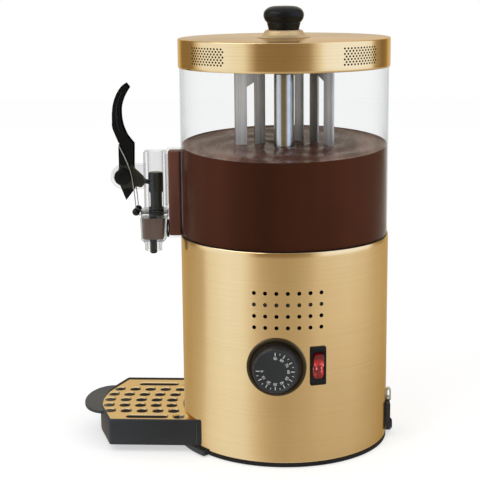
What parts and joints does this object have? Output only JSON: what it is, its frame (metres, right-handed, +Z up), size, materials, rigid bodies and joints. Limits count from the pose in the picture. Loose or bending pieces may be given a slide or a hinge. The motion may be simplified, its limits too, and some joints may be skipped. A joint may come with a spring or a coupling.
{
  "type": "hot chocolate dispenser",
  "caption": "Free-standing hot chocolate dispenser: heated round base with dial and switch, clear lift-off tank with stirrer, gold lid, lever tap and pull-out drip tray.",
  "frame": {"origin": "centre of the bounding box at the level of the surface that the feet stand on", "axes": "+Z up, +Y away from the control panel, the tap and the drip tray towards -X"},
  "size_m": [0.3534, 0.2486, 0.4823],
  "materials": {
    "body_gold": "brushed gold-coloured metal",
    "steel": "bright stainless steel",
    "black_moulding": "satin black moulding",
    "black_gloss": "glossy black moulding",
    "rubber": "dull black rubber",
    "clear_plastic": "clear polished plastic",
    "grey_plastic": "plain grey plastic",
    "red_lens": "lit red plastic",
    "chocolate": "dark drink with a glossy surface",
    "motor_grey": "grey cast housing",
    "heater": "dull brown heating element"
  },
  "bodies": {
    "base": {"base_plate": "black_moulding", "foot_rear_right": "rubber", "foot_rear_left": "rubber", "foot_front_left": "rubber", "foot_front_right": "rubber", "body_shell": "body_gold", "thermostat_body": "motor_grey", "dial_bezel": "black_moulding", "rocker_switch_housing": "black_moulding", "rear_terminal_cover": "black_moulding", "cable_gland": "black_moulding", "cable_clip": "steel", "heating_basin": "steel", "heater_ring": "heater", "motor_bracket": "steel", "gear_motor": "motor_grey", "shaft_bush": "grey_plastic", "tray_bracket": "black_moulding"},
    "drive": {"drive_shaft": "steel"},
    "thermostat": {"thermostat_knob": "black_moulding"},
    "switch": {"rocker_button": "red_lens"},
    "tray": {"drip_tray": "black_moulding"},
    "grille": {"drip_grille": "body_gold"},
    "tank": {"tank_wall": "clear_plastic", "tank_seal": "rubber", "tank_pan": "steel", "centre_column": "steel", "column_bush": "grey_plastic", "spout_ring": "rubber", "tap_chamber": "clear_plastic", "tap_nozzle": "clear_plastic", "tap_collar": "clear_plastic", "spring_anchor": "black_gloss", "tap_guide": "clear_plastic", "pivot_pin": "steel", "pivot_cap_near": "black_gloss", "pivot_cap_far": "black_gloss", "return_spring": "steel", "chocolate_in_outlet": "chocolate", "chocolate_in_tap": "chocolate"},
    "mixer": {"mixer_hub": "grey_plastic", "mixer_gate_left": "grey_plastic", "mixer_gate_right": "grey_plastic", "mixer_gate_rear": "grey_plastic", "chocolate_fill": "chocolate"},
    "lever": {"tap_lever": "black_gloss"},
    "plunger": {"plunger": "black_gloss", "plunger_seal": "rubber"},
    "lid": {"lid_shell": "body_gold", "lid_seal": "rubber", "lid_boss": "body_gold", "lid_knob": "black_gloss", "knob_screw": "steel"}
  },
  "joints": [
    {"name": "drive_spin", "type": "hinge", "parent": "base", "child": "drive", "pos_m": [0.0542, 0.00829, 0.2], "axis": [0, 0, 1], "continuous": true},
    {"name": "thermostat_turn", "type": "hinge", "parent": "base", "child": "thermostat", "pos_m": [0.04828, -0.10866, 0.1116], "axis": [-0.0506, -0.9987, 0], "range_deg": [0, 270]},
    {"name": "rocker_switch", "type": "hinge", "parent": "base", "child": "switch", "pos_m": [0.09265, -0.10274, 0.1117], "axis": [-0.9449, -0.3272, 0], "range_deg": [0, 14]},
    {"name": "tray_slide", "type": "slide", "parent": "base", "child": "tray", "axis": [-1, 0, 0], "range_m": [0, 0.08]},
    {"name": "grille_lift", "type": "slide", "parent": "tray", "child": "grille", "axis": [0, 0, 1], "range_m": [0, 0.04]},
    {"name": "tank_lift", "type": "slide", "parent": "base", "child": "tank", "axis": [0, 0, 1], "range_m": [0, 0.23]},
    {"name": "mixer_spin", "type": "hinge", "parent": "tank", "child": "mixer", "pos_m": [0.0542, 0.00829, 0.41], "axis": [0, 0, 1], "continuous": true},
    {"name": "lid_lift", "type": "slide", "parent": "tank", "child": "lid", "axis": [0, 0, 1], "range_m": [0, 0.12]},
    {"name": "tap_lever", "type": "hinge", "parent": "tank", "child": "lever", "pos_m": [-0.1244, 0.00829, 0.2962], "axis": [0, -1, 0], "range_deg": [0, 25], "stiffness_Nm_per_rad": 0.9, "springref_deg": -20.05, "deforming": ["return_spring"]},
    {"name": "plunger_lift", "type": "slide", "parent": "tank", "child": "plunger", "axis": [0, 0, 1], "range_m": [0, 0.0165]}
  ],
  "couplings": [
    {"joint": "drive_spin", "follows": "mixer_spin", "ratio": 1},
    {"joint": "plunger_lift", "follows": "tap_lever", "m_per_rad": 0.0365}
  ]
}
